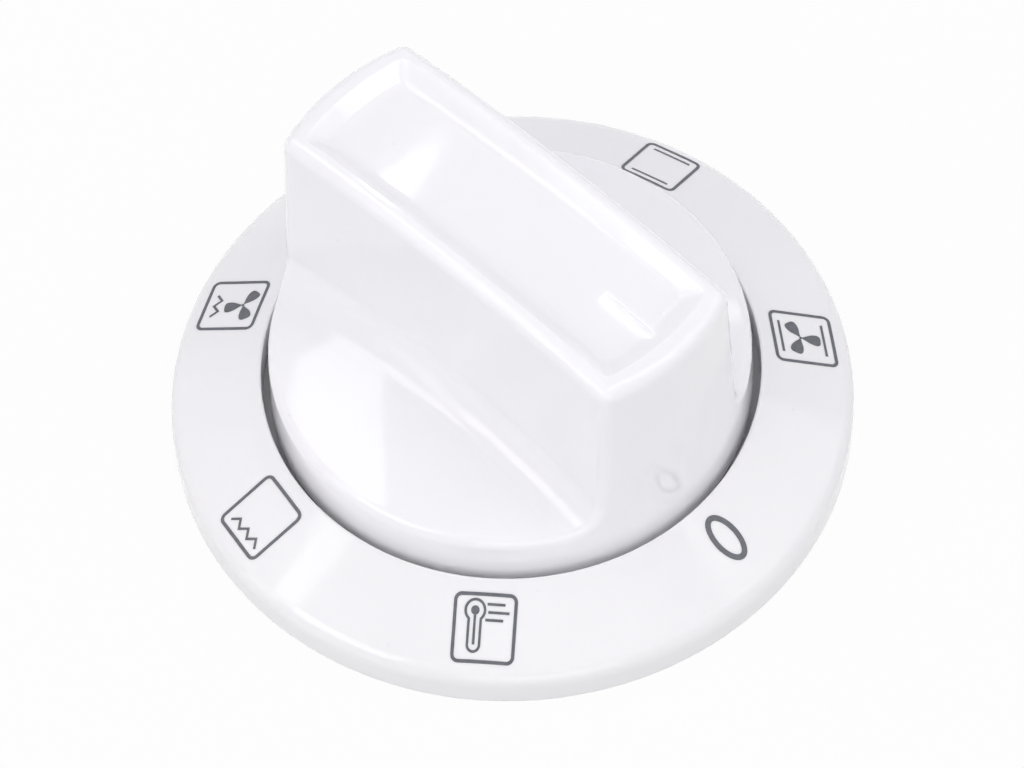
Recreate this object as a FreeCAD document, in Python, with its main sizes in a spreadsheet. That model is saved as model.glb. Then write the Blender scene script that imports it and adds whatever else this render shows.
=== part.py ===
import FreeCAD, Part
import math
import os
import Sketcher

# Oven control knob: a tapered grip with a crowned, dished bar that turns inside a sloping dial ring.
# Millimetres. The origin is on the shaft axis at the dial's back, +Z points out of the oven panel
# and +Y towards the pointer, which stands at the dial's zero.

SIZES = {
    # dial ring
    "dial_radius": 32.0,
    "dial_edge_height": 3.38,
    "dial_slope": 24.6,
    "dial_edge_round": 1.8,
    "cap_gap": 0.75,
    "dial_lip_round": 0.2,
    "dial_wall": 2.0,
    "web_height": 1.9,
    "web_thickness": 1.6,
    "dial_rib_count": 14,
    "dial_rib_thickness": 1.2,
    "dial_rib_foot": 0.5,
    "screw_spacing": 28.0,
    "screw_pilot_radius": 1.1,
    "screw_pilot_depth": 2.8,
    "screw_boss_radius": 2.8,
    # knob cap
    "cap_radius": 22.55,
    "cap_draft": 1.6,
    "cap_wall": 2.0,
    "knob_height": 32.3,
    "crown_radius": 180.0,
    "grip_width": 15.74,
    "grip_draft": 3.5,
    "dome_height": 15.3,
    "dome_radius": 64.0,
    "grip_root_round": 3.6,
    "cap_edge_round": 1.3,
    "crown_edge_round": 1.25,
    "dish_side_rim": 1.52,
    "dish_end_rim": 2.5,
    "dish_depth": 1.1,
    "dish_side_slope": 54.0,
    "dish_end_slope": 66.0,
    "dish_floor_round": 1.5,
    "dish_corner_round": 1.6,
    "pointer_start": 12.5,
    "pointer_length": 6.4,
    "pointer_width": 1.0,
    "pointer_height": 0.45,
    "pointer_round": 0.42,
    # core inside the cap
    "web_clearance": 0.2,
    "flange_thickness": 1.3,
    "flange_inset": 0.3,
    "spigot_height": 3.0,
    "spigot_wall": 1.6,
    "spigot_clearance": 0.15,
    "journal_radius": 8.0,
    "journal_clearance": 0.06,
    "sleeve_wall": 1.4,
    "sleeve_foot": 0.5,
    "barb_depth": 0.5,
    "barb_height": 0.6,
    "finger_count": 4,
    "finger_slot": 1.8,
    "hub_radius": 5.0,
    "hub_height": 19.5,
    "drive_rib_height": 12.0,
    "drive_rib_thickness": 2.0,
    "drive_rib_reach": 14.5,
    "drive_rib_clearance": 0.2,
    # shaft socket and its spring
    "shaft_radius": 3.05,
    "shaft_flat": 1.55,
    "shaft_guide": 6.0,
    "shaft_depth": 17.0,
    "socket_relief": 0.25,
    "clip_thickness": 0.4,
    "clip_width": 4.6,
    "clip_length": 9.0,
    "clip_bow": 0.75,
    "clip_clearance": 0.1,
    # how far a cut reaches past the solid that it cuts
    "overcut": 1.0,
}

doc = FreeCAD.newDocument("oven_control_knob")
sheet = doc.addObject("Spreadsheet::Sheet", "sizes")
for row, (alias, size) in enumerate(SIZES.items(), start=1):
    sheet.set(f"A{row}", alias)
    sheet.set(f"B{row}", str(size))
    sheet.setAlias(f"B{row}", alias)
doc.recompute()


# Places that several pieces share, written as expressions of the sheet's sizes.
CAP_LEAN = "tan(sizes.cap_draft * 1deg)"
GRIP_LEAN = "tan(sizes.grip_draft * 1deg)"
DIAL_RISE = "tan(sizes.dial_slope * 1deg)"
DISH_SIDE_LEAN = "tan(sizes.dish_side_slope * 1deg)"
DISH_END_LEAN = "tan(sizes.dish_end_slope * 1deg)"
WEB_TOP = "(sizes.web_height + sizes.web_thickness)"
FLANGE_FOOT = f"({WEB_TOP} + sizes.web_clearance)"
CAP_FOOT = f"({FLANGE_FOOT} + sizes.flange_thickness)"
CROWN_CENTRE = "(sizes.knob_height - sizes.crown_radius)"
END_RADIUS = f"(sizes.cap_radius - (sizes.knob_height - {CAP_FOOT}) * {CAP_LEAN})"
END_HEIGHT = f"({CROWN_CENTRE} + sqrt(sizes.crown_radius ^ 2 - {END_RADIUS} ^ 2))"
DIAL_OPENING = "(sizes.cap_radius + sizes.cap_gap)"
BEARING_RADIUS = "(sizes.journal_radius + sizes.journal_clearance)"
CAP_INNER_RADIUS = "(sizes.cap_radius - sizes.cap_wall)"
GRIP_INNER_HALF = "(sizes.grip_width / 2 - sizes.cap_wall)"


TOUCH = 0.01


def number(expression):
    """The present value of an expression."""
    result = sheet.evalExpression(expression)
    return float(getattr(result, "Value", result))


def origin_feature(body, role):
    """The body's own origin plane or axis of that role."""
    return next(feature for feature in body.Origin.OriginFeatures if feature.Role == role)


def new_body(name):
    """A sub-part: a body whose label names its file."""
    body = doc.addObject("PartDesign::Body", name)
    body.Label = name
    body.Placement = FreeCAD.Placement()
    return body


def new_sketch(body, name, plane, rise="0"):
    """A sketch on one of the body's origin planes, its origin raised along Z."""
    sketch = body.newObject("Sketcher::SketchObject", name)
    sketch.AttachmentSupport = (origin_feature(body, plane), "")
    sketch.MapMode = "FlatFace"
    if rise != "0":
        along = "z" if plane == "XY_Plane" else "y"
        sketch.setExpression(f"AttachmentOffset.Base.{along}", rise)
    return sketch


def bind(sketch, kind, geometry, point, expression):
    """A driving distance from the sketch's origin to a point, or the point laid on the axis."""
    if expression == "0":
        axis = -2 if kind == "DistanceX" else -1
        sketch.addConstraint(Sketcher.Constraint("PointOnObject", geometry, point, axis))
        return
    place = sketch.addConstraint(Sketcher.Constraint(kind, -1, 1, geometry, point, number(expression)))
    sketch.setExpression(f"Constraints[{place}]", expression)


def add_edge(sketch, start, end, arc):
    """A line, or an arc that turns left or right, and which of its ends is the start."""
    if arc is None:
        return sketch.addGeometry(Part.LineSegment(start, end)), 1
    turn, radius_expression = arc
    radius = number(radius_expression)
    chord = end - start
    left = FreeCAD.Vector(-chord.y, chord.x, 0).normalize()
    offset = math.sqrt(radius**2 - (chord.Length / 2) ** 2)
    centre = (start + end) / 2 + left * (offset if turn == "left" else -offset)
    first, last = (start, end) if turn == "left" else (end, start)
    angles = [math.atan2(point.y - centre.y, point.x - centre.x) for point in (first, last)]
    circle = Part.Circle(centre, FreeCAD.Vector(0, 0, 1), radius)
    edge = sketch.addGeometry(Part.ArcOfCircle(circle, *angles))
    size = sketch.addConstraint(Sketcher.Constraint("Radius", edge, radius))
    sketch.setExpression(f"Constraints[{size}]", radius_expression)
    return edge, 1 if turn == "left" else 2


def add_loop(sketch, corners):
    """A closed outline. A corner is (across, up) and, where an arc leaves it, (turn, radius)."""
    points = [FreeCAD.Vector(number(corner[0]), number(corner[1]), 0) for corner in corners]
    edges = []
    for place, corner in enumerate(corners):
        arc = corner[2] if len(corner) > 2 else None
        following = points[(place + 1) % len(points)]
        edges.append(add_edge(sketch, points[place], following, arc))
    for place, (edge, start) in enumerate(edges):
        following, following_start = edges[(place + 1) % len(edges)]
        meet = Sketcher.Constraint("Coincident", edge, 3 - start, following, following_start)
        sketch.addConstraint(meet)
    for (edge, start), corner in zip(edges, corners):
        bind(sketch, "DistanceX", edge, start, corner[0])
        bind(sketch, "DistanceY", edge, start, corner[1])


def add_circle(sketch, across, up, radius_expression):
    """A circle with its centre and radius bound to the sheet."""
    centre = FreeCAD.Vector(number(across), number(up), 0)
    circle = Part.Circle(centre, FreeCAD.Vector(0, 0, 1), number(radius_expression))
    edge = sketch.addGeometry(circle)
    size = sketch.addConstraint(Sketcher.Constraint("Radius", edge, number(radius_expression)))
    sketch.setExpression(f"Constraints[{size}]", radius_expression)
    bind(sketch, "DistanceX", edge, 3, across)
    bind(sketch, "DistanceY", edge, 3, up)


def rectangle(low_across, low_up, high_across, high_up):
    """The corners of an upright rectangle."""
    return [(low_across, low_up), (high_across, low_up), (high_across, high_up), (low_across, high_up)]


def turn(body, kind, name, sketch, axis="V_Axis"):
    """A full revolution or groove of a sketch about one of its axes."""
    feature = body.newObject(f"PartDesign::{kind}", name)
    feature.Profile = sketch
    feature.ReferenceAxis = (sketch, [axis])
    feature.Angle = 360
    feature.Refine = True
    return feature


def cut_through(body, name, sketch):
    """A cut right through the body on both sides of its sketch."""
    pocket = body.newObject("PartDesign::Pocket", name)
    pocket.Profile = sketch
    pocket.SideType = "Symmetric"
    pocket.Type = "ThroughAll"
    return pocket


def cut_up(body, name, sketch, depth):
    """A blind cut upwards from its sketch."""
    pocket = body.newObject("PartDesign::Pocket", name)
    pocket.Profile = sketch
    pocket.Reversed = True
    pocket.setExpression("Length", depth)
    return pocket


def pad(body, name, sketch, length, both_sides=False):
    """An extrusion along the sketch's normal, or to both sides of it."""
    feature = body.newObject("PartDesign::Pad", name)
    feature.Profile = sketch
    if both_sides:
        feature.SideType = "Symmetric"
    feature.setExpression("Length", length)
    return feature


def repeat_round(body, name, feature, count):
    """Copies of a feature spread evenly round the shaft axis."""
    pattern = body.newObject("PartDesign::PolarPattern", name)
    pattern.Originals = [feature]
    pattern.Axis = (origin_feature(body, "Z_Axis"), [""])
    pattern.Angle = 360
    pattern.setExpression("Occurrences", count)
    body.Tip = pattern
    return pattern


def edges_where(shape, wanted):
    """Names of the edges for which wanted(edge, its two faces) holds."""
    faces_of = {}
    for face in shape.Faces:
        for edge in face.Edges:
            faces_of.setdefault(edge.hashCode(), []).append(face)
    names = []
    for place, edge in enumerate(shape.Edges, start=1):
        faces = faces_of.get(edge.hashCode(), [])
        if len(faces) == 2 and not edge.Degenerated and wanted(edge, faces):
            names.append(f"Edge{place}")
    return names


def is_surface(face, kind):
    """Whether a face lies on that kind of surface."""
    return face.Surface.__class__.__name__ == kind


def is_circle(curve):
    """Whether a curve is part of a circle."""
    return curve.__class__.__name__ == "Circle"


def round_edges(body, name, wanted, radius):
    """A fillet on the edges of the body so far that are wanted."""
    doc.recompute()
    base = body.Tip
    names = edges_where(base.Shape, wanted)
    if not names:
        raise RuntimeError(f"{name}: no edge to round")
    fillet = body.newObject("PartDesign::Fillet", name)
    fillet.Base = (base, names)
    fillet.setExpression("Radius", radius)
    doc.recompute()
    return fillet


def combine(body, name, tool):
    """Cuts another body's solid out of this one."""
    doc.recompute()
    boolean = body.newObject("PartDesign::Boolean", name)
    boolean.Type = "Cut"
    boolean.addObjects([tool])
    doc.recompute()
    return boolean


def cone_radius(radius, height):
    """Radius of the tapered body, measured at the cap's foot, at another height."""
    return f"({radius} - ({height} - {CAP_FOOT}) * {CAP_LEAN})"


def grip_form(body, foot, radius, half_width, top, crown_radius, dome_top, dome_radius):
    """The knob's form: a tapered round, crowned lengthwise and cut away to a bar above domed shoulders."""
    over = f"({top} + 2 * sizes.overcut)"
    outside = f"({radius} + 4 * sizes.overcut)"
    cone = new_sketch(body, "ConeProfile", "YZ_Plane")
    add_loop(cone, [
        ("0", foot),
        (cone_radius(radius, foot), foot),
        (cone_radius(radius, over), over),
        ("0", over),
    ])
    turn(body, "Revolution", "Cone", cone)

    crown = new_sketch(body, "CrownProfile", "YZ_Plane")
    crown_foot = f"({top} - {crown_radius} + sqrt({crown_radius} ^ 2 - {outside} ^ 2))"
    above = f"({over} + sizes.overcut)"
    add_loop(crown, [
        (f"-{outside}", crown_foot, ("right", crown_radius)),
        (outside, crown_foot),
        (outside, above),
        (f"-{outside}", above),
    ])
    cut_through(body, "Crown", crown)

    # the space over the shoulders, beside the bar
    space = new_body(f"{body.Name}_shoulder_space")
    dome = new_sketch(space, "DomeProfile", "YZ_Plane")
    dome_foot = f"({dome_top} - {dome_radius} + sqrt({dome_radius} ^ 2 - {outside} ^ 2))"
    add_loop(dome, [
        ("0", dome_top, ("right", dome_radius)),
        (outside, dome_foot),
        (outside, above),
        ("0", above),
    ])
    turn(space, "Revolution", "OverDome", dome)

    def side(height):
        return f"({half_width} + ({top} - {height}) * {GRIP_LEAN})"

    beyond = f"({above} + sizes.overcut)"
    bar = new_sketch(space, "BarProfile", "XZ_Plane")
    add_loop(bar, [
        (f"-{side(foot)}", foot),
        (side(foot), foot),
        (side(beyond), beyond),
        (f"-{side(beyond)}", beyond),
    ])
    cut_through(space, "Bar", bar)
    combine(body, "Shoulders", space)


def dish_form(body):
    """The dish in the grip's top: a trough that follows the crown, ended by walls round the axis."""
    half = "(sizes.grip_width / 2 - sizes.dish_side_rim)"
    floor = "(sizes.crown_radius - sizes.dish_depth)"
    above = "(sizes.crown_radius + 2 * sizes.overcut)"
    floor_half = f"({half} - sizes.dish_depth * {DISH_SIDE_LEAN})"
    open_half = f"({half} + 2 * sizes.overcut * {DISH_SIDE_LEAN})"
    trough = new_sketch(body, "TroughProfile", "XZ_Plane", CROWN_CENTRE)
    add_loop(trough, [
        (f"-{floor_half}", floor),
        (floor_half, floor),
        (open_half, above),
        (f"-{open_half}", above),
    ])
    sweep = turn(body, "Revolution", "Trough", trough, "H_Axis")
    sweep.Midplane = True
    sweep.setExpression("Angle", f"2 * asin(({END_RADIUS} + sizes.overcut) / sizes.crown_radius)")

    def end(height):
        return f"({END_RADIUS} - sizes.dish_end_rim + ({height} - {END_HEIGHT}) * {DISH_END_LEAN})"

    low = f"({END_HEIGHT} - 3 * sizes.dish_depth)"
    high = "(sizes.knob_height + 4 * sizes.overcut)"
    outside = "(2 * sizes.cap_radius)"
    ends = new_sketch(body, "EndProfile", "XZ_Plane")
    add_loop(ends, [(end(low), low), (outside, low), (outside, high), (end(high), high)])
    turn(body, "Groove", "Ends", ends)

    def corner(edge, faces):
        kinds = {face.Surface.__class__.__name__ for face in faces}
        steep = abs(edge.Vertexes[0].Z - edge.Vertexes[-1].Z) > number("sizes.dish_depth")
        return kinds == {"Cone"} and steep

    def floor_edge(edge, faces):
        floors = [face for face in faces if is_surface(face, "Cylinder")]
        return any(abs(face.Surface.Radius - number(floor)) < TOUCH for face in floors)

    round_edges(body, "Corners", corner, "sizes.dish_corner_round")
    round_edges(body, "FloorEdges", floor_edge, "sizes.dish_floor_round")


def build_cap():
    """The white cap: grip, dish, pointer and hollow."""
    cap = new_body("knob_cap")
    grip_form(
        cap, CAP_FOOT, "sizes.cap_radius", "(sizes.grip_width / 2)", "sizes.knob_height",
        "sizes.crown_radius", "sizes.dome_height", "sizes.dome_radius",
    )

    def root(edge, faces):
        return {face.Surface.__class__.__name__ for face in faces} == {"Plane", "Sphere"}

    def outer_edge(edge, faces):
        foot = number(CAP_FOOT)
        cones = [face for face in faces if is_surface(face, "Cone")]
        others = [face for face in faces if not is_surface(face, "Cone")]
        if len(cones) != 1 or is_surface(others[0], "Cylinder"):
            return False
        return edge.BoundBox.ZMin > foot + number("sizes.overcut")

    def crown_edge(edge, faces):
        return any(is_surface(face, "Cylinder") and face.BoundBox.ZMax > number("sizes.knob_height")
                   - number("sizes.overcut") for face in faces)

    round_edges(cap, "GripRoots", root, "sizes.grip_root_round")
    round_edges(cap, "OuterEdges", outer_edge, "sizes.cap_edge_round")
    round_edges(cap, "CrownEdges", crown_edge, "sizes.crown_edge_round")

    dish = new_body("dish_space")
    dish_form(dish)
    combine(cap, "Dish", dish)

    floor = "(sizes.crown_radius - sizes.dish_depth)"
    last = "(sizes.pointer_start + sizes.pointer_length)"

    def on_arc(radius, along):
        return (along, f"sqrt({radius} ^ 2 - {along} ^ 2)")

    rib = new_sketch(cap, "PointerProfile", "YZ_Plane", CROWN_CENTRE)
    buried = f"({floor} - sizes.pointer_height)"
    crest = f"({floor} + sizes.pointer_height)"
    add_loop(rib, [
        on_arc(buried, "sizes.pointer_start"),
        on_arc(buried, last),
        on_arc(crest, last) + (("left", crest),),
        on_arc(crest, "sizes.pointer_start"),
    ])
    pad(cap, "Pointer", rib, "sizes.pointer_width", both_sides=True)

    def pointer_edge(edge, faces):
        curve = edge.Curve
        return is_circle(curve) and abs(curve.Radius - number(crest)) < TOUCH

    round_edges(cap, "PointerEdges", pointer_edge, "sizes.pointer_round")

    hollow = new_body("cap_hollow")
    grip_form(
        hollow, f"({CAP_FOOT} - sizes.overcut)", CAP_INNER_RADIUS, GRIP_INNER_HALF,
        "(sizes.knob_height - sizes.dish_depth - sizes.cap_wall)",
        "(sizes.crown_radius - sizes.dish_depth - sizes.cap_wall)",
        "(sizes.dome_height - sizes.cap_wall)", "(sizes.dome_radius - sizes.cap_wall)",
    )
    combine(cap, "Hollow", hollow)
    return cap


def build_core():
    """The dark core: flange under the cap, snap sleeve through the dial, hub with the shaft socket."""
    core = new_body("hub_core")
    foot = "sizes.sleeve_foot"
    sleeve_inner = "(sizes.journal_radius - sizes.sleeve_wall)"
    barb = "(sizes.journal_radius + sizes.barb_depth)"
    barb_top = "(sizes.web_height - sizes.web_clearance)"
    barb_foot = f"({barb_top} - sizes.barb_height)"
    flange = "(sizes.cap_radius - sizes.flange_inset)"
    spigot_top = f"({CAP_FOOT} + sizes.spigot_height)"
    spigot = f"({cone_radius(CAP_INNER_RADIUS, spigot_top)} - sizes.spigot_clearance)"
    spigot_inner = f"({spigot} - sizes.spigot_wall)"
    profile = new_sketch(core, "TurnedProfile", "XZ_Plane")
    add_loop(profile, [
        ("0", foot),
        ("sizes.hub_radius", foot),
        ("sizes.hub_radius", FLANGE_FOOT),
        (sleeve_inner, FLANGE_FOOT),
        (sleeve_inner, foot),
        ("sizes.journal_radius", foot),
        (barb, barb_foot),
        (barb, barb_top),
        ("sizes.journal_radius", barb_top),
        ("sizes.journal_radius", FLANGE_FOOT),
        (flange, FLANGE_FOOT),
        (flange, CAP_FOOT),
        (spigot, CAP_FOOT),
        (spigot, spigot_top),
        (spigot_inner, spigot_top),
        (spigot_inner, CAP_FOOT),
        ("sizes.hub_radius", CAP_FOOT),
        ("sizes.hub_radius", "sizes.hub_height"),
        ("0", "sizes.hub_height"),
    ])
    turn(core, "Revolution", "Turned", profile)

    # ribs that stand in the hollow bar and carry the hand's turn to the hub
    rib_top = f"({CAP_FOOT} + sizes.drive_rib_height)"
    lean_in = f"(sizes.knob_height - sizes.dish_depth - sizes.cap_wall - {rib_top}) * {GRIP_LEAN}"
    rib_half = f"({GRIP_INNER_HALF} + {lean_in} - sizes.drive_rib_clearance)"
    web_half = "(sizes.drive_rib_thickness / 2)"
    reach = "sizes.drive_rib_reach"
    inner = "(sizes.drive_rib_reach - sizes.drive_rib_thickness)"
    ribs = new_sketch(core, "DriveRibProfile", "XY_Plane", CAP_FOOT)
    right = [(rib_half, f"-{reach}"), (rib_half, f"-{inner}"), (web_half, f"-{inner}"),
             (web_half, inner), (rib_half, inner), (rib_half, reach)]
    left = [(f"-{across}", up) for across, up in reversed(right)]
    add_loop(ribs, right + left)
    pad(core, "DriveRibs", ribs, "sizes.drive_rib_height")

    guide = new_sketch(core, "ShaftGuideProfile", "XY_Plane", foot)
    add_circle(guide, "0", "0", "sizes.shaft_radius")
    cut_up(core, "ShaftGuide", guide, "sizes.shaft_guide")
    socket_radius = "(sizes.shaft_radius + sizes.socket_relief)"
    flat_half = f"sqrt({socket_radius} ^ 2 - sizes.shaft_flat ^ 2)"
    guide_top = f"({foot} + sizes.shaft_guide)"
    socket = new_sketch(core, "ShaftSocketProfile", "XY_Plane", guide_top)
    # the round part of the socket runs the long way, from the flat's one end to its other
    add_loop(socket, [
        ("sizes.shaft_flat", flat_half, ("left", socket_radius)),
        (f"-{socket_radius}", "0", ("left", socket_radius)),
        ("sizes.shaft_flat", f"-{flat_half}"),
    ])
    cut_up(core, "ShaftSocket", socket, "(sizes.shaft_depth - sizes.shaft_guide)")

    # pocket behind the flat for the spring
    clip_half = "(sizes.clip_width / 2 + sizes.clip_clearance)"
    clip_back = "(sizes.shaft_flat + sizes.clip_bow + sizes.clip_thickness)"
    pocket = new_sketch(core, "ClipPocketProfile", "XY_Plane", guide_top)
    add_loop(pocket, rectangle("0", f"-{clip_half}", clip_back, clip_half))
    cut_up(core, "ClipPocket", pocket, "(sizes.clip_length + 2 * sizes.clip_clearance)")

    slot_half = "(sizes.finger_slot / 2)"
    slots = new_sketch(core, "FingerSlotProfile", "XY_Plane", foot)
    slot_start = f"({sleeve_inner} - sizes.sleeve_wall / 2)"
    slot_end = f"({barb} + sizes.overcut)"
    add_loop(slots, rectangle(slot_start, f"-{slot_half}", slot_end, slot_half))
    slot = cut_up(core, "FingerSlot", slots, f"({FLANGE_FOOT} - {foot})")
    repeat_round(core, "FingerSlots", slot, "sizes.finger_count")
    return core


def build_clip():
    """The bowed steel spring that presses on the shaft's flat."""
    clip = new_body("shaft_clip")
    middle = "(sizes.sleeve_foot + sizes.shaft_guide + sizes.clip_clearance + sizes.clip_length / 2)"
    half = "(sizes.clip_length / 2)"
    back = "(sizes.shaft_flat + sizes.clip_bow + sizes.clip_thickness)"
    bend = f"(({half} ^ 2 + sizes.clip_bow ^ 2) / (2 * sizes.clip_bow))"
    outer_bend = f"({bend} + sizes.clip_thickness)"
    centre = f"({back} - sizes.clip_bow + {bend})"
    inner_place = f"({centre} - sqrt({outer_bend} ^ 2 - {half} ^ 2))"
    leaf = new_sketch(clip, "LeafProfile", "XZ_Plane", middle)
    add_loop(leaf, [
        (back, half, ("left", bend)),
        (back, f"-{half}"),
        (inner_place, f"-{half}", ("right", outer_bend)),
        (inner_place, half),
    ])
    pad(clip, "Leaf", leaf, "sizes.clip_width", both_sides=True)
    return clip


def build_dial():
    """The dial: sloping ring on an outer wall, with a web that carries the knob's sleeve."""
    dial = new_body("dial_ring")

    def face_height(radius):
        return f"(sizes.dial_edge_height + (sizes.dial_radius - {radius}) * {DIAL_RISE})"

    def under_height(radius):
        return f"({face_height(radius)} - sizes.dial_wall / cos(sizes.dial_slope * 1deg))"

    opening = DIAL_OPENING
    inner = f"({DIAL_OPENING} + sizes.dial_wall)"
    outer = "(sizes.dial_radius - sizes.dial_wall)"
    profile = new_sketch(dial, "RingProfile", "XZ_Plane")
    add_loop(profile, [
        (outer, "0"),
        ("sizes.dial_radius", "0"),
        ("sizes.dial_radius", "sizes.dial_edge_height"),
        (opening, face_height(opening)),
        (opening, WEB_TOP),
        (BEARING_RADIUS, WEB_TOP),
        (BEARING_RADIUS, "sizes.web_height"),
        (inner, "sizes.web_height"),
        (inner, under_height(inner)),
        (outer, under_height(outer)),
    ])
    turn(dial, "Revolution", "Ring", profile)

    def at_radius(radius, height):
        def wanted(edge, faces):
            box = edge.BoundBox
            return abs(box.XMax - radius) < TOUCH and abs(box.ZMax - height) < TOUCH
        return wanted

    outer_corner = at_radius(number("sizes.dial_radius"), number("sizes.dial_edge_height"))
    round_edges(dial, "OuterEdge", outer_corner, "sizes.dial_edge_round")
    lip = at_radius(number(opening), number(face_height(opening)))
    round_edges(dial, "Lip", lip, "sizes.dial_lip_round")

    # stiffening ribs under the sloping face, sunk to the middle of its wall
    def rib_top(radius):
        return f"({under_height(radius)} + sizes.dial_wall / 2)"

    rib_in = f"({inner} - sizes.dial_wall / 2)"
    rib_out = f"({outer} + sizes.dial_wall / 2)"
    ribs = new_sketch(dial, "RibProfile", "XZ_Plane")
    add_loop(ribs, [
        (rib_in, "sizes.web_height"),
        (inner, "sizes.dial_rib_foot"),
        (rib_out, "sizes.dial_rib_foot"),
        (rib_out, rib_top(rib_out)),
        (rib_in, rib_top(rib_in)),
    ])
    rib = pad(dial, "Rib", ribs, "sizes.dial_rib_thickness", both_sides=True)
    repeat_round(dial, "Ribs", rib, "sizes.dial_rib_count")

    # bosses that take screws from behind the panel
    bosses = new_sketch(dial, "BossProfile", "XY_Plane")
    pilots = new_sketch(dial, "PilotProfile", "XY_Plane")
    for sign in ("", "-"):
        place = f"{sign}sizes.screw_spacing / 2"
        add_circle(bosses, place, "0", "sizes.screw_boss_radius")
        add_circle(pilots, place, "0", "sizes.screw_pilot_radius")
    pad(dial, "Bosses", bosses, "(sizes.web_height + sizes.web_thickness / 2)")
    cut_up(dial, "Pilots", pilots, "sizes.screw_pilot_depth")
    return dial


sub_parts = [build_cap(), build_core(), build_clip(), build_dial()]
doc.recompute()

for item in doc.Objects:
    if "Invalid" in item.State or "Error" in item.State:
        raise RuntimeError(f"{item.Name} failed: {item.State}")
for part in sub_parts:
    if part.Shape.isNull() or not part.Shape.isValid() or len(part.Shape.Solids) != 1:
        raise RuntimeError(f"{part.Label} is not one valid solid")

os.makedirs("parts", exist_ok=True)
for part in sub_parts:
    part.Shape.exportStep(f"parts/{part.Label}.step")
    box = part.Shape.BoundBox
    print(f"{part.Label}: {part.Shape.Volume:.1f} mm3, z {box.ZMin:.2f} to {box.ZMax:.2f}")
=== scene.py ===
import math

import bpy
from mathutils import Matrix, Vector


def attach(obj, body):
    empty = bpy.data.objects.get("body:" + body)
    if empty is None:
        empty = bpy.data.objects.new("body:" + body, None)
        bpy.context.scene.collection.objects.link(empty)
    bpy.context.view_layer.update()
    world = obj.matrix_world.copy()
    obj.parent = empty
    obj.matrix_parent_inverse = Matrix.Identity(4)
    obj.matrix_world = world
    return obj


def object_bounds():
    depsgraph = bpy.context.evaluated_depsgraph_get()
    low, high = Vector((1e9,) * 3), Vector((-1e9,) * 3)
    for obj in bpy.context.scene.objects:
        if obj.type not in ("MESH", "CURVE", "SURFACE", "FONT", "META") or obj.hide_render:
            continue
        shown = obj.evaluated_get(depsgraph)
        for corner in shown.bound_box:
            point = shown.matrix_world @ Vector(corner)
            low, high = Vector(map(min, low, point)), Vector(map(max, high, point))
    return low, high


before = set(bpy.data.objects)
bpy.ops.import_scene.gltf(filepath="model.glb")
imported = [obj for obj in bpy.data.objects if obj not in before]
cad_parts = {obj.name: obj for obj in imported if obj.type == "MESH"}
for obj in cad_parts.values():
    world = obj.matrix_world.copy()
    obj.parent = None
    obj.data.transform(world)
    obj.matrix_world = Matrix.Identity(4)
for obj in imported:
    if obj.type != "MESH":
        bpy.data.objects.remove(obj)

bl_info = {
    "name": "Oven control knob",
    "version": (1, 0, 0),
    "blender": (4, 5, 0),
    "location": "3D View > Sidebar > Oven knob",
    "description": "Finishes an oven control knob and prints the function signs on its dial",
    "category": "Object",
}

MM = 0.001
CAD_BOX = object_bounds()
IMAGE_WIDTH = 1024
FLOOR_GAP = 0.05 * MM
NEAR_CLIP = 10 * MM

SIGN_COUNT = 7
SIGN_NAMES = (
    "sign_zero", "sign_thermometer", "sign_grill", "sign_grill_fan",
    "sign_bottom_heat", "sign_top_bottom_heat", "sign_fan_heat",
)
FAR_SIGN = "sign_top_bottom_heat"


class KnobFinish(bpy.types.PropertyGroup):
    """Colours and gloss of the knob's materials."""

    cap_colour: bpy.props.FloatVectorProperty(
        name="Cap", description="Colour of the white cap", subtype="COLOR", size=3,
        min=0.0, max=1.0, default=(0.925, 0.925, 0.946))
    dial_colour: bpy.props.FloatVectorProperty(
        name="Dial", description="Colour of the white dial", subtype="COLOR", size=3,
        min=0.0, max=1.0, default=(0.900, 0.900, 0.912))
    core_colour: bpy.props.FloatVectorProperty(
        name="Core", description="Colour of the heat-resistant core", subtype="COLOR", size=3,
        min=0.0, max=1.0, default=(0.022, 0.022, 0.025))
    clip_colour: bpy.props.FloatVectorProperty(
        name="Spring", description="Colour of the spring steel", subtype="COLOR", size=3,
        min=0.0, max=1.0, default=(0.52, 0.52, 0.53))
    ink_colour: bpy.props.FloatVectorProperty(
        name="Ink", description="Colour of the printed signs", subtype="COLOR", size=3,
        min=0.0, max=1.0, default=(0.135, 0.142, 0.160))
    gloss_roughness: bpy.props.FloatProperty(
        name="Gloss roughness", description="Roughness of the white plastic", subtype="FACTOR",
        min=0.0, max=1.0, default=0.07)
    cap_scatter: bpy.props.FloatProperty(
        name="Cap scatter", description="How far light spreads under the cap's skin",
        unit="LENGTH", default=1.0 * MM)
    dial_scatter: bpy.props.FloatProperty(
        name="Dial scatter", description="How far light spreads under the dial's skin",
        unit="LENGTH", default=0.3 * MM)


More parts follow.
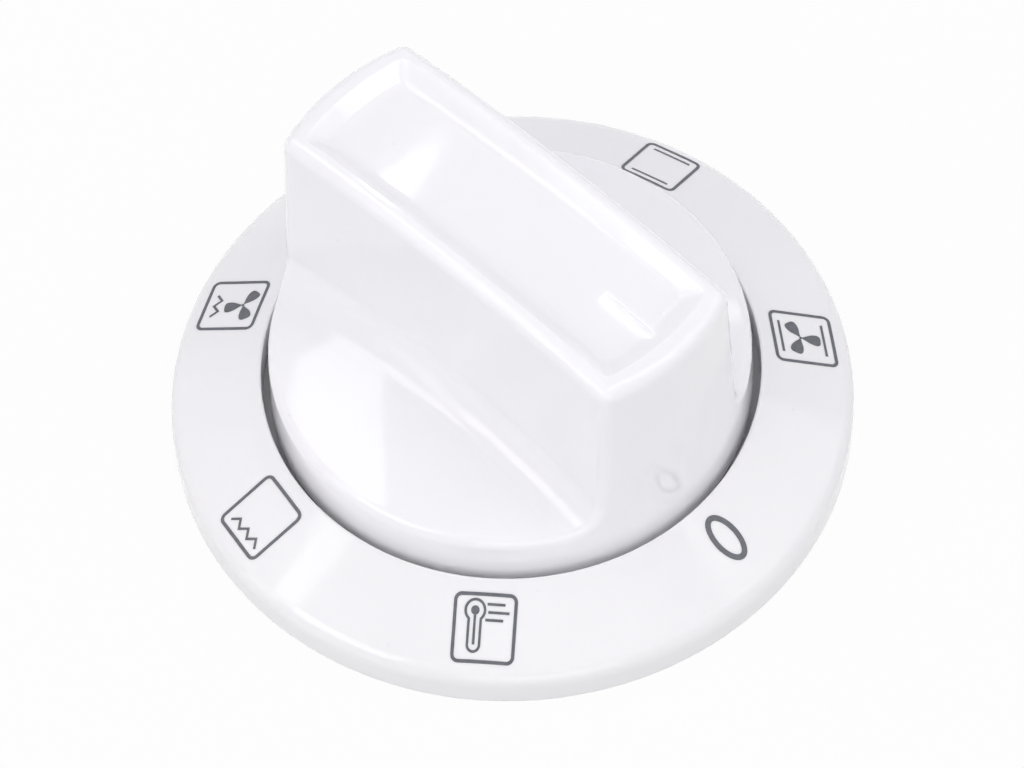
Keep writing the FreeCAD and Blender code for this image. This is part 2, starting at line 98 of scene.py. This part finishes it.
class KnobSigns(bpy.types.PropertyGroup):
    """Sizes of the signs printed on the dial."""

    zero_turn: bpy.props.FloatProperty(
        name="Zero's turn", description="Turn of the zero from the pointer, counter-clockwise",
        subtype="ANGLE", default=math.radians(0.77))
    frame_radius: bpy.props.FloatProperty(
        name="Frame radius", description="Distance of the framed signs from the shaft axis",
        unit="LENGTH", default=27.58 * MM)
    frame_half_width: bpy.props.FloatProperty(
        name="Half width", description="Half the width of a sign's frame",
        unit="LENGTH", default=2.76 * MM)
    frame_half_height: bpy.props.FloatProperty(
        name="Half height", description="Half the height of a sign's frame",
        unit="LENGTH", default=2.81 * MM)
    frame_corner: bpy.props.FloatProperty(
        name="Corner", description="Corner radius of a sign's frame", unit="LENGTH", default=0.55 * MM)
    frame_stroke: bpy.props.FloatProperty(
        name="Frame stroke", description="Stroke of a sign's frame", unit="LENGTH", default=0.30 * MM)
    line_stroke: bpy.props.FloatProperty(
        name="Line stroke", description="Stroke of the lines inside a frame",
        unit="LENGTH", default=0.225 * MM)
    far_sign_shift: bpy.props.FloatProperty(
        name="Far sign's shift",
        description="How much further out the sign behind the cap's far shoulder stands, to show whole",
        unit="LENGTH", default=0.3 * MM)
    zero_radius: bpy.props.FloatProperty(
        name="Zero radius", description="Distance of the zero from the shaft axis",
        unit="LENGTH", default=26.9 * MM)
    zero_offset: bpy.props.FloatProperty(
        name="Zero offset", description="Place of the zero to the left of its mark",
        unit="LENGTH", default=0.28 * MM)
    zero_width: bpy.props.FloatProperty(
        name="Zero width", description="Outer width of the zero", unit="LENGTH", default=2.76 * MM)
    zero_height: bpy.props.FloatProperty(
        name="Zero height", description="Outer height of the zero", unit="LENGTH", default=4.55 * MM)
    zero_stroke: bpy.props.FloatProperty(
        name="Zero stroke", description="Stroke of the zero", unit="LENGTH", default=0.51 * MM)
    ink_height: bpy.props.FloatProperty(
        name="Ink height", description="Height of the ink over the dial", unit="LENGTH", default=0.02 * MM)
    ink_root: bpy.props.FloatProperty(
        name="Ink root", description="Depth of the ink's foot under the dial's face",
        unit="LENGTH", default=0.04 * MM)


class KnobStage(bpy.types.PropertyGroup):
    """Camera, floor and lights."""

    azimuth: bpy.props.FloatProperty(
        name="Azimuth", description="Camera's turn round the shaft axis", subtype="ANGLE",
        default=math.radians(136.9))
    elevation: bpy.props.FloatProperty(
        name="Elevation", description="Camera's height angle", subtype="ANGLE", default=math.radians(56.20))
    roll: bpy.props.FloatProperty(
        name="Roll", description="Camera's turn about its own axis", subtype="ANGLE",
        default=math.radians(-2.933))
    distance: bpy.props.FloatProperty(
        name="Distance", description="Camera's distance from the aim", unit="LENGTH", default=517.76 * MM)
    focal_pixels: bpy.props.FloatProperty(
        name="Focal length", description="Focal length in pixels of the image", default=5500.0)
    aim_right: bpy.props.FloatProperty(
        name="Aim right", description="Aim's place to the right of the dial's centre",
        unit="LENGTH", default=-0.09 * MM)
    aim_up: bpy.props.FloatProperty(
        name="Aim up", description="Aim's place above the dial's centre", unit="LENGTH", default=2.23 * MM)
    floor_size: bpy.props.FloatProperty(
        name="Floor", description="Side of the floor", unit="LENGTH", default=3.0)
    floor_colour: bpy.props.FloatVectorProperty(
        name="Floor colour", description="Colour of the floor", subtype="COLOR", size=3,
        min=0.0, max=1.0, default=(0.62, 0.62, 0.62))
    floor_white: bpy.props.FloatProperty(
        name="Floor white", description="Share of plain white in the seen floor", subtype="FACTOR",
        min=0.0, max=1.0, default=0.96)
    world_colour: bpy.props.FloatVectorProperty(
        name="Room", description="Colour of the room's light", subtype="COLOR", size=3,
        min=0.0, max=1.0, default=(0.965, 0.955, 1.0))
    world_strength: bpy.props.FloatProperty(
        name="Room strength", description="Strength of the room's light", default=0.705)
    lamp_colour: bpy.props.FloatVectorProperty(
        name="Lamps", description="Colour of the lamps", subtype="COLOR", size=3,
        min=0.0, max=1.0, default=(1.0, 0.985, 0.955))


# Planar strokes of the printed signs. A shape is (points, faces) in metres, x to the right and y up.

STEP = 0.18 * MM
MITRE_LIMIT = 0.35
CORNER_STEPS = 8
BULB_STEPS = 40
TUBE_STEPS = 16
ZERO_STEPS = 72


def merged(shapes):
    """Several shapes as one."""
    points = []
    faces = []
    for shape_points, shape_faces in shapes:
        start = len(points)
        points.extend(shape_points)
        faces.extend([tuple(start + corner for corner in face) for face in shape_faces])
    return points, faces


def divided(path, closed):
    """A path with points added so that no run is longer than the step."""
    runs = list(zip(path, path[1:] + path[:1])) if closed else list(zip(path, path[1:]))
    points = []
    for start, end in runs:
        count = max(1, math.ceil((end - start).length / STEP))
        points.extend(start.lerp(end, place / count) for place in range(count))
    if not closed:
        points.append(path[-1])
    return points


def stroke(path, width, closed=False):
    """A ribbon of even width along a path, mitred at its corners."""
    points = divided([Vector(point) for point in path], closed)
    count = len(points)
    sides = []
    for place, point in enumerate(points):
        before = points[place - 1] if closed or place else None
        after = points[(place + 1) % count] if closed or place < count - 1 else None
        along_in = (point - before).normalized() if before is not None else None
        along_out = (after - point).normalized() if after is not None else None
        along_in = along_in or along_out
        along_out = along_out or along_in
        middle = (along_in + along_out).normalized()
        normal = Vector((-middle.y, middle.x))
        reach = width / 2 / max(MITRE_LIMIT, normal.dot(Vector((-along_in.y, along_in.x))))
        sides.append((point + normal * reach, point - normal * reach))
    flat = [side for pair in sides for side in pair]
    last = count if closed else count - 1
    faces = []
    for place in range(last):
        here = 2 * place
        there = 2 * ((place + 1) % count)
        faces.append((here, here + 1, there + 1, there))
    return flat, faces


def arc(centre, radius_x, radius_y, start, end, count):
    """Points of an elliptic arc from one angle to another, in degrees."""
    points = []
    for place in range(count + 1):
        angle = math.radians(start + (end - start) * place / count)
        points.append((centre[0] + radius_x * math.cos(angle), centre[1] + radius_y * math.sin(angle)))
    return points


def disc(centre, radius, around=24, rings=3):
    """A filled round."""
    points = [Vector(centre)]
    faces = []
    for ring in range(1, rings + 1):
        size = radius * ring / rings
        points.extend(Vector(point) for point in arc(centre, size, size, 0, 360, around)[:-1])
    for place in range(around):
        following = (place + 1) % around
        faces.append((0, 1 + place, 1 + following))
        for ring in range(1, rings):
            inner = 1 + (ring - 1) * around
            outer = inner + around
            faces.append((inner + place, outer + place, outer + following, inner + following))
    return points, faces


# half width of a fan's blade along its length, both as shares of that length
BLADE_OUTLINE = (
    (0.08, 0.035), (0.20, 0.09), (0.35, 0.180), (0.50, 0.258), (0.65, 0.305),
    (0.80, 0.318), (0.90, 0.295), (0.97, 0.230), (1.00, 0.140),
)
BLADE_COLUMNS = 4
HUB_SHARE = 0.07
HUB_STEPS = 12


def blade(centre, length, angle):
    """One rounded blade of a fan."""
    along = Vector((math.cos(math.radians(angle)), math.sin(math.radians(angle))))
    across = Vector((-along.y, along.x))
    points = []
    for share, half in BLADE_OUTLINE:
        for column in range(BLADE_COLUMNS + 1):
            side = 2 * column / BLADE_COLUMNS - 1
            points.append(Vector(centre) + along * (share * length) - across * (side * half * length))
    faces = []
    wide = BLADE_COLUMNS + 1
    for row in range(len(BLADE_OUTLINE) - 1):
        for column in range(BLADE_COLUMNS):
            here = row * wide + column
            faces.append((here, here + 1, here + wide + 1, here + wide))
    return points, faces


def fan(centre, length, angles):
    """A fan's blades round a small hub."""
    hub = disc(centre, HUB_SHARE * length, around=HUB_STEPS, rings=1)
    return merged([blade(centre, length, angle) for angle in angles] + [hub])


def sign_frame(signs):
    """The rounded square round a sign."""
    corner = signs.frame_corner
    wide = signs.frame_half_width - corner
    high = signs.frame_half_height - corner
    path = []
    for quarter, (across, up) in enumerate(((wide, high), (-wide, high), (-wide, -high), (wide, -high))):
        start = 90 * quarter
        path.extend(arc((across, up), corner, corner, start, start + 90, CORNER_STEPS))
    return stroke(path, signs.frame_stroke, closed=True)


class SignPen:
    """Draws a sign's lines in shares of its frame's half width and half height."""

    def __init__(self, signs):
        self.signs = signs
        self.shapes = [sign_frame(signs)]

    def at(self, across, up):
        return (across * self.signs.frame_half_width, up * self.signs.frame_half_height)

    def line(self, *path):
        self.shapes.append(stroke([self.at(*point) for point in path], self.signs.line_stroke))

    def zigzag(self, first, last, count, low, high):
        step = (last - first) / (count - 1)
        self.line(*[(first + step * place, low if place % 2 else high) for place in range(count)])

    def fan(self, across, up, reach, angles):
        self.shapes.append(fan(self.at(across, up), reach * self.signs.frame_half_width, angles))

    def thermometer(self, across, up, bulb, tube, top, stem_top, dot):
        join = math.degrees(math.acos(tube / bulb))
        path = arc((across, up), bulb, bulb, join, -180 - join, BULB_STEPS)
        path += arc((across, top - tube), tube, tube, 180, 0, TUBE_STEPS)
        outline = [self.at(*point) for point in path]
        self.shapes.append(stroke(outline, self.signs.line_stroke, closed=True))
        self.shapes.append(disc(self.at(across, up), dot * self.signs.frame_half_width))
        self.line((across, up + dot), (across, stem_top))


def zero_shape(signs):
    """The numeral at the pointer's rest."""
    half_width = (signs.zero_width - signs.zero_stroke) / 2
    half_height = (signs.zero_height - signs.zero_stroke) / 2
    path = arc((-signs.zero_offset, 0), half_width, half_height, 0, 360, ZERO_STEPS)[:-1]
    return stroke(path, signs.zero_stroke, closed=True)


def framed_shape(signs, name):
    """The framed sign of that name."""
    pen = SignPen(signs)
    if name == "sign_thermometer":
        pen.thermometer(across=0.33, up=-0.52, bulb=0.32, tube=0.20, top=0.71, stem_top=0.50, dot=0.14)
        pen.line((-0.06, -0.71), (-0.65, -0.71))
        pen.line((-0.10, -0.47), (-0.80, -0.47))
        pen.line((-0.02, -0.24), (-0.61, -0.24))
    elif name == "sign_grill":
        pen.zigzag(first=0.706, last=-0.734, count=7, low=0.512, high=0.742)
    elif name == "sign_grill_fan":
        pen.zigzag(first=0.43, last=-0.49, count=5, low=0.48, high=0.70)
        pen.fan(across=0.0, up=-0.36, reach=0.66, angles=(-33, 101, 206))
    elif name == "sign_bottom_heat":
        pen.line((-0.70, -0.75), (0.70, -0.75))
    elif name == "sign_top_bottom_heat":
        pen.line((-0.70, 0.75), (0.70, 0.75))
        pen.line((-0.70, -0.75), (0.70, -0.75))
    elif name == "sign_fan_heat":
        pen.line((-0.63, 0.70), (0.64, 0.70))
        pen.line((-0.63, -0.75), (0.64, -0.75))
        pen.fan(across=0.0, up=-0.09, reach=0.68, angles=(211, 85, -22))
    else:
        raise ValueError(f"no sign is called {name}")
    return merged(pen.shapes)


def film_on_dial(name, shape, radius, turn, signs):
    """A thin closed film of ink that lies on the dial's sloping face."""
    points, faces = shape
    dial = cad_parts["dial_ring"]
    outward = Vector((math.cos(turn), math.sin(turn), 0.0))
    right = Vector((math.sin(turn), -math.cos(turn), 0.0))
    above = Vector((0.0, 0.0, CAD_BOX[1][2] * 2))
    upper = []
    lower = []
    for point in points:
        place = outward * (radius + point.y) + right * point.x
        hit, spot, normal, _ = dial.ray_cast(place + above, Vector((0.0, 0.0, -1.0)))
        if not hit:
            raise RuntimeError(f"{name} leaves the dial")
        upper.append(spot + normal * signs.ink_height)
        lower.append(spot - normal * signs.ink_root)
    count = len(points)
    solid = [tuple(face) for face in faces]
    solid += [tuple(count + corner for corner in reversed(face)) for face in faces]
    edges = dict.fromkeys(edge for face in faces for edge in zip(face, face[1:] + face[:1]))
    for start, end in edges:
        if (end, start) not in edges:
            solid.append((end, start, count + start, count + end))
    mesh = bpy.data.meshes.new(name)
    mesh.from_pydata([tuple(vertex) for vertex in upper + lower], [], solid)
    mesh.validate()
    mesh.update()
    film = bpy.data.objects.new(name, mesh)
    bpy.context.scene.collection.objects.link(film)
    return film


# Materials

# the values that most of a noise texture takes
NOISE_SPAN = (0.3, 0.7)


class Nodes:
    """Short words for the nodes of one material."""

    def __init__(self, name):
        self.material = bpy.data.materials.new(name)
        self.material.use_nodes = True
        self.tree = self.material.node_tree
        self.tree.nodes.clear()
        self.shader = self.add("ShaderNodeBsdfPrincipled")
        self.output = self.add("ShaderNodeOutputMaterial")
        self.link(self.shader.outputs["BSDF"], self.output.inputs["Surface"])
        self.place = self.add("ShaderNodeTexCoord").outputs["Object"]

    def add(self, kind, **values):
        node = self.tree.nodes.new(kind)
        for name, value in values.items():
            setattr(node, name, value)
        return node

    def link(self, source, target):
        self.tree.links.new(source, target)

    def stretched(self, scale):
        node = self.add("ShaderNodeMapping")
        node.inputs["Scale"].default_value = scale
        self.link(self.place, node.inputs["Vector"])
        return node.outputs["Vector"]

    def noise(self, scale, detail=2.0, vector=None):
        node = self.add("ShaderNodeTexNoise")
        node.inputs["Scale"].default_value = scale
        node.inputs["Detail"].default_value = detail
        self.link(vector or self.place, node.inputs["Vector"])
        return node.outputs["Fac"]

    def specks(self, scale, size):
        """Spots of up to that share of a cell, 1 inside and 0 outside."""
        node = self.add("ShaderNodeTexVoronoi", feature="F1")
        node.inputs["Scale"].default_value = scale
        self.link(self.place, node.inputs["Vector"])
        return self.ranged(node.outputs["Distance"], (size, size * 0.5), 0.0, 1.0)

    def ranged(self, value, span, low, high):
        """A value with that span stretched to run from low to high."""
        node = self.add("ShaderNodeMapRange")
        for name, number in zip(("From Min", "From Max", "To Min", "To Max"), (*span, low, high)):
            node.inputs[name].default_value = number
        self.link(value, node.inputs["Value"])
        return node.outputs["Result"]

    def math(self, operation, first, second):
        node = self.add("ShaderNodeMath", operation=operation)
        for place, value in enumerate((first, second)):
            if isinstance(value, (int, float)):
                node.inputs[place].default_value = value
            else:
                self.link(value, node.inputs[place])
        return node.outputs["Value"]

    def mixed(self, factor, first, second):
        node = self.add("ShaderNodeMix", data_type="RGBA")
        self.link(factor, node.inputs["Factor"])
        for name, value in (("A", first), ("B", second)):
            socket = next(s for s in node.inputs if s.name == name and s.type == "RGBA")
            if isinstance(value, tuple):
                socket.default_value = value
            else:
                self.link(value, socket)
        return next(s for s in node.outputs if s.type == "RGBA")

    def bump(self, height, distance, under=None):
        node = self.add("ShaderNodeBump")
        node.inputs["Distance"].default_value = distance
        self.link(height, node.inputs["Height"])
        if under is not None:
            self.link(under, node.inputs["Normal"])
        return node.outputs["Normal"]

    def set(self, **values):
        for name, value in values.items():
            socket = self.shader.inputs[name.replace("_", " ")]
            if hasattr(value, "links"):
                self.link(value, socket)
            else:
                socket.default_value = value


def shade(colour, factor):
    """A colour made darker or lighter, with full alpha."""
    return tuple(min(1.0, channel * factor) for channel in colour) + (1.0,)


def gloss_plastic(name, colour, scatter, roughness):
    """White moulded plastic, milky under its skin, with flow clouds, hairline scuffs and rare grey specks."""
    nodes = Nodes(name)
    clouds = nodes.noise(55.0, detail=3.0)
    tone = nodes.mixed(nodes.ranged(clouds, NOISE_SPAN, 0.0, 1.0), shade(colour, 0.985), shade(colour, 1.01))
    specks = nodes.specks(150.0, size=0.030)
    worn = nodes.mixed(nodes.math("MULTIPLY", specks, 0.12), tone, shade(colour, 0.45))
    scuffs = nodes.noise(1.0, vector=nodes.stretched((260.0, 2600.0, 900.0)))
    scuff_marks = nodes.ranged(scuffs, (0.66, 0.78), 0.0, 0.07)
    skin = nodes.ranged(nodes.noise(180.0), NOISE_SPAN, roughness - 0.02, roughness + 0.03)
    fine = nodes.noise(1500.0)
    wave = nodes.noise(120.0, detail=1.0)
    normal = nodes.bump(fine, 0.0015 * MM, under=nodes.bump(wave, 0.012 * MM))
    nodes.set(Base_Color=worn, Roughness=nodes.math("ADD", skin, scuff_marks), Normal=normal, IOR=1.58)
    nodes.shader.subsurface_method = "BURLEY"
    nodes.set(Subsurface_Weight=1.0, Subsurface_Radius=(1.0, 1.0, 1.0), Subsurface_Scale=scatter)
    return nodes.material


def core_plastic(name, colour):
    """Dark heat-resistant moulding with a fine grain."""
    nodes = Nodes(name)
    grain = nodes.noise(2200.0, detail=4.0)
    clouds = nodes.noise(90.0, detail=3.0)
    tone = nodes.mixed(nodes.ranged(clouds, NOISE_SPAN, 0.0, 1.0), shade(colour, 0.8), shade(colour, 1.5))
    dusty = nodes.mixed(nodes.ranged(grain, (0.62, 0.8), 0.0, 0.5), tone, shade(colour, 3.2))
    roughness = nodes.ranged(grain, NOISE_SPAN, 0.46, 0.62)
    nodes.set(Base_Color=dusty, Roughness=roughness, Normal=nodes.bump(grain, 0.02 * MM), IOR=1.48)
    return nodes.material


def spring_steel(name, colour):
    """Rolled strip with lines along its length."""
    nodes = Nodes(name)
    lines = nodes.noise(1.0, detail=3.0, vector=nodes.stretched((3000.0, 9000.0, 160.0)))
    tone = nodes.mixed(nodes.ranged(lines, NOISE_SPAN, 0.0, 1.0), shade(colour, 0.8), shade(colour, 1.12))
    roughness = nodes.ranged(lines, NOISE_SPAN, 0.22, 0.38)
    nodes.set(Base_Color=tone, Roughness=roughness, Normal=nodes.bump(lines, 0.004 * MM), Metallic=1.0)
    return nodes.material


def printing_ink(name, colour):
    """Grey pad-printed ink: slightly uneven cover with small pinholes and a satin face."""
    nodes = Nodes(name)
    cover = nodes.noise(1800.0, detail=3.0)
    tone = nodes.mixed(nodes.ranged(cover, (0.3, 0.75), 0.0, 1.0), shade(colour, 0.88), shade(colour, 1.18))
    pinholes = nodes.specks(4200.0, size=0.16)
    printed = nodes.mixed(nodes.math("MULTIPLY", pinholes, 0.30), tone, shade(colour, 3.0))
    roughness = nodes.ranged(cover, NOISE_SPAN, 0.34, 0.48)
    nodes.set(Base_Color=printed, Roughness=roughness, Normal=nodes.bump(cover, 0.003 * MM), IOR=1.5)
    return nodes.material


def coat(node, material):
    """Gives a CAD node its finish."""
    node.data.materials.clear()
    node.data.materials.append(material)


# Operators


class KNOB_OT_finish_cap(bpy.types.Operator):
    """Finish the cap in white gloss plastic"""

    bl_idname = "oven_knob.finish_cap"
    bl_label = "Finish cap"

    def execute(self, context):
        finish = context.scene.knob_finish
        gloss = gloss_plastic("cap_gloss", finish.cap_colour, finish.cap_scatter, finish.gloss_roughness)
        coat(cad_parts["knob_cap"], gloss)
        return {"FINISHED"}


class KNOB_OT_finish_dial(bpy.types.Operator):
    """Finish the dial ring in white gloss plastic"""

    bl_idname = "oven_knob.finish_dial"
    bl_label = "Finish dial"

    def execute(self, context):
        finish = context.scene.knob_finish
        gloss = gloss_plastic("dial_gloss", finish.dial_colour, finish.dial_scatter, finish.gloss_roughness)
        coat(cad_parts["dial_ring"], gloss)
        return {"FINISHED"}


class KNOB_OT_finish_core(bpy.types.Operator):
    """Finish the core in dark moulded plastic"""

    bl_idname = "oven_knob.finish_core"
    bl_label = "Finish core"

    def execute(self, context):
        coat(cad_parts["hub_core"], core_plastic("core_grain", context.scene.knob_finish.core_colour))
        return {"FINISHED"}


class KNOB_OT_finish_clip(bpy.types.Operator):
    """Finish the shaft's spring in rolled steel"""

    bl_idname = "oven_knob.finish_clip"
    bl_label = "Finish spring"

    def execute(self, context):
        steel = spring_steel("spring_steel", context.scene.knob_finish.clip_colour)
        coat(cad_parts["shaft_clip"], steel)
        return {"FINISHED"}


class KNOB_OT_print_signs(bpy.types.Operator):
    """Print the function signs on the dial's sloping face"""

    bl_idname = "oven_knob.print_signs"
    bl_label = "Print signs"

    def execute(self, context):
        signs = context.scene.knob_signs
        ink = printing_ink("sign_ink", context.scene.knob_finish.ink_colour)
        first_turn = math.pi / 2 + signs.zero_turn
        for place, name in enumerate(SIGN_NAMES):
            is_zero = name == "sign_zero"
            shape = zero_shape(signs) if is_zero else framed_shape(signs, name)
            radius = signs.zero_radius if is_zero else signs.frame_radius
            if name == FAR_SIGN:
                radius += signs.far_sign_shift
            turn = first_turn - place * 2 * math.pi / SIGN_COUNT
            film = film_on_dial(name, shape, radius, turn, signs)
            film.data.materials.append(ink)
            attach(film, "dial")
        return {"FINISHED"}


# Each lamp's name, place and aim in metres (to the right, away and up as the camera is turned),
# width and length in metres, and power in watts.
LIGHTS = (
    ("window_left", (-0.36, 0.20, 0.60), (-0.36, 0.20, 0.0), (0.23, 0.52), 0.60),
    ("window_right", (0.36, 0.43, 0.50), (0.0, 0.0, 0.0), (0.08, 0.16), 0.08),
    ("softbox_front", (0.0, -0.55, 0.75), (0.0, 0.0, 0.0), (0.90, 0.60), 0.18),
    ("panel_front", (0.06, -0.78, 0.20), (0.0, 0.0, 0.0), (0.60, 0.34), 0.82),
    ("panel_left", (-0.50, -0.38, 0.48), (0.0, 0.0, 0.02), (0.38, 0.32), 0.70),
    ("strip_left", (-0.665, -0.18, 0.386), (0.0, 0.0, 0.02), (0.12, 0.66), 0.21),
    ("panel_right", (0.66, 0.02, 0.55), (0.0, 0.0, 0.0), (0.70, 0.60), 0.98),
    ("spot_right", (0.27, 0.01, 0.69), (0.0, 0.0, 0.03), (0.16, 0.30), 0.28),
    ("spot_back", (-0.082, 0.484, 0.60), (-0.009, 0.005, 0.031), (0.046, 0.026), 0.028),
)


class KNOB_OT_set_stage(bpy.types.Operator):
    """Set the floor, the soft lights and the camera"""

    bl_idname = "oven_knob.set_stage"
    bl_label = "Set stage"

    def execute(self, context):
        stage = context.scene.knob_stage
        self.lay_floor(context, stage)
        self.light_room(context, stage)
        self.aim_camera(context, stage)
        context.scene.view_settings.view_transform = "Standard"
        return {"FINISHED"}

    def lay_floor(self, context, stage):
        half = stage.floor_size / 2
        low = CAD_BOX[0][2] - FLOOR_GAP
        corners = [(-half, -half, low), (half, -half, low), (half, half, low), (-half, half, low)]
        mesh = bpy.data.meshes.new("floor")
        mesh.from_pydata(corners, [], [(0, 1, 2, 3)])
        floor = bpy.data.objects.new("floor", mesh)
        context.scene.collection.objects.link(floor)
        mesh.materials.append(self.floor_paint(stage))

    def floor_paint(self, stage):
        """Pale floor: the camera sees it nearly white, with the shadow kept."""
        nodes = Nodes("floor_paint")
        mottle = nodes.noise(14.0, detail=3.0)
        tone = nodes.mixed(mottle, shade(stage.floor_colour, 0.99), shade(stage.floor_colour, 1.01))
        nodes.set(Base_Color=tone, Roughness=0.9, Specular_IOR_Level=0.0)
        white = nodes.add("ShaderNodeEmission")
        white.inputs["Strength"].default_value = 1.0
        path = nodes.add("ShaderNodeLightPath")
        seen = nodes.math("MAXIMUM", path.outputs["Is Camera Ray"], path.outputs["Is Glossy Ray"])
        share = nodes.math("MULTIPLY", seen, stage.floor_white)
        mix = nodes.add("ShaderNodeMixShader")
        nodes.link(share, mix.inputs["Fac"])
        nodes.link(nodes.shader.outputs["BSDF"], mix.inputs[1])
        nodes.link(white.outputs["Emission"], mix.inputs[2])
        nodes.link(mix.outputs["Shader"], nodes.output.inputs["Surface"])
        return nodes.material

    def light_room(self, context, stage):
        world = bpy.data.worlds.new("room")
        world.use_nodes = True
        background = world.node_tree.nodes["Background"]
        background.inputs["Color"].default_value = tuple(stage.world_colour) + (1.0,)
        background.inputs["Strength"].default_value = stage.world_strength
        context.scene.world = world
        spin = Matrix.Rotation(stage.azimuth, 4, "Z")
        for name, place, aim, size, power in LIGHTS:
            light = bpy.data.lights.new(name, "AREA")
            light.shape = "RECTANGLE"
            light.size, light.size_y = size
            light.energy = power
            light.color = stage.lamp_colour
            lamp = bpy.data.objects.new(name, light)
            facing = (Vector(place) - Vector(aim)).to_track_quat("Z", "Y")
            lamp.matrix_world = spin @ Matrix.Translation(place) @ facing.to_matrix().to_4x4()
            context.scene.collection.objects.link(lamp)

    def aim_camera(self, context, stage):
        back = Vector((
            math.sin(stage.azimuth) * math.cos(stage.elevation),
            -math.cos(stage.azimuth) * math.cos(stage.elevation),
            math.sin(stage.elevation),
        ))
        right = Vector((math.cos(stage.azimuth), math.sin(stage.azimuth), 0.0))
        upright = Matrix((right, back.cross(right), back)).transposed()
        axes = upright @ Matrix.Rotation(stage.roll, 3, "Z")
        aim = axes @ Vector((stage.aim_right, stage.aim_up, 0.0))
        lens = bpy.data.cameras.new("camera")
        lens.sensor_fit = "HORIZONTAL"
        lens.lens = lens.sensor_width * stage.focal_pixels / IMAGE_WIDTH
        lens.clip_start = NEAR_CLIP
        camera = bpy.data.objects.new("camera", lens)
        camera.matrix_world = Matrix.Translation(aim + back * stage.distance) @ axes.to_4x4()
        context.scene.collection.objects.link(camera)
        context.scene.camera = camera


class KNOB_PT_panel(bpy.types.Panel):
    """The knob's finishes, signs and stage"""

    bl_idname = "KNOB_PT_panel"
    bl_label = "Oven knob"
    bl_space_type = "VIEW_3D"
    bl_region_type = "UI"
    bl_category = "Oven knob"

    def draw(self, context):
        for group, operators in PANEL_ROWS:
            box = self.layout.box()
            settings = getattr(context.scene, group)
            for name in settings.__annotations__:
                box.prop(settings, name)
            for operator in operators:
                box.operator(operator.bl_idname)


PANEL_ROWS = (
    ("knob_finish", (KNOB_OT_finish_cap, KNOB_OT_finish_dial, KNOB_OT_finish_core, KNOB_OT_finish_clip)),
    ("knob_signs", (KNOB_OT_print_signs,)),
    ("knob_stage", (KNOB_OT_set_stage,)),
)
GROUPS = {"knob_finish": KnobFinish, "knob_signs": KnobSigns, "knob_stage": KnobStage}
CLASSES = tuple(GROUPS.values()) + tuple(
    operator for _, operators in PANEL_ROWS for operator in operators) + (KNOB_PT_panel,)


def register():
    """Registers the classes and gives the scene their settings."""
    for item in CLASSES:
        bpy.utils.register_class(item)
    for name, group in GROUPS.items():
        setattr(bpy.types.Scene, name, bpy.props.PointerProperty(type=group))


def unregister():
    """Takes the settings and classes away again."""
    for name in GROUPS:
        delattr(bpy.types.Scene, name)
    for item in reversed(CLASSES):
        bpy.utils.unregister_class(item)


def main():
    """Finishes the knob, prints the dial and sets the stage."""
    register()
    bpy.ops.oven_knob.finish_cap()
    bpy.ops.oven_knob.finish_dial()
    bpy.ops.oven_knob.finish_core()
    bpy.ops.oven_knob.finish_clip()
    bpy.ops.oven_knob.print_signs()
    bpy.ops.oven_knob.set_stage()


if __name__ == "__main__":
    main()
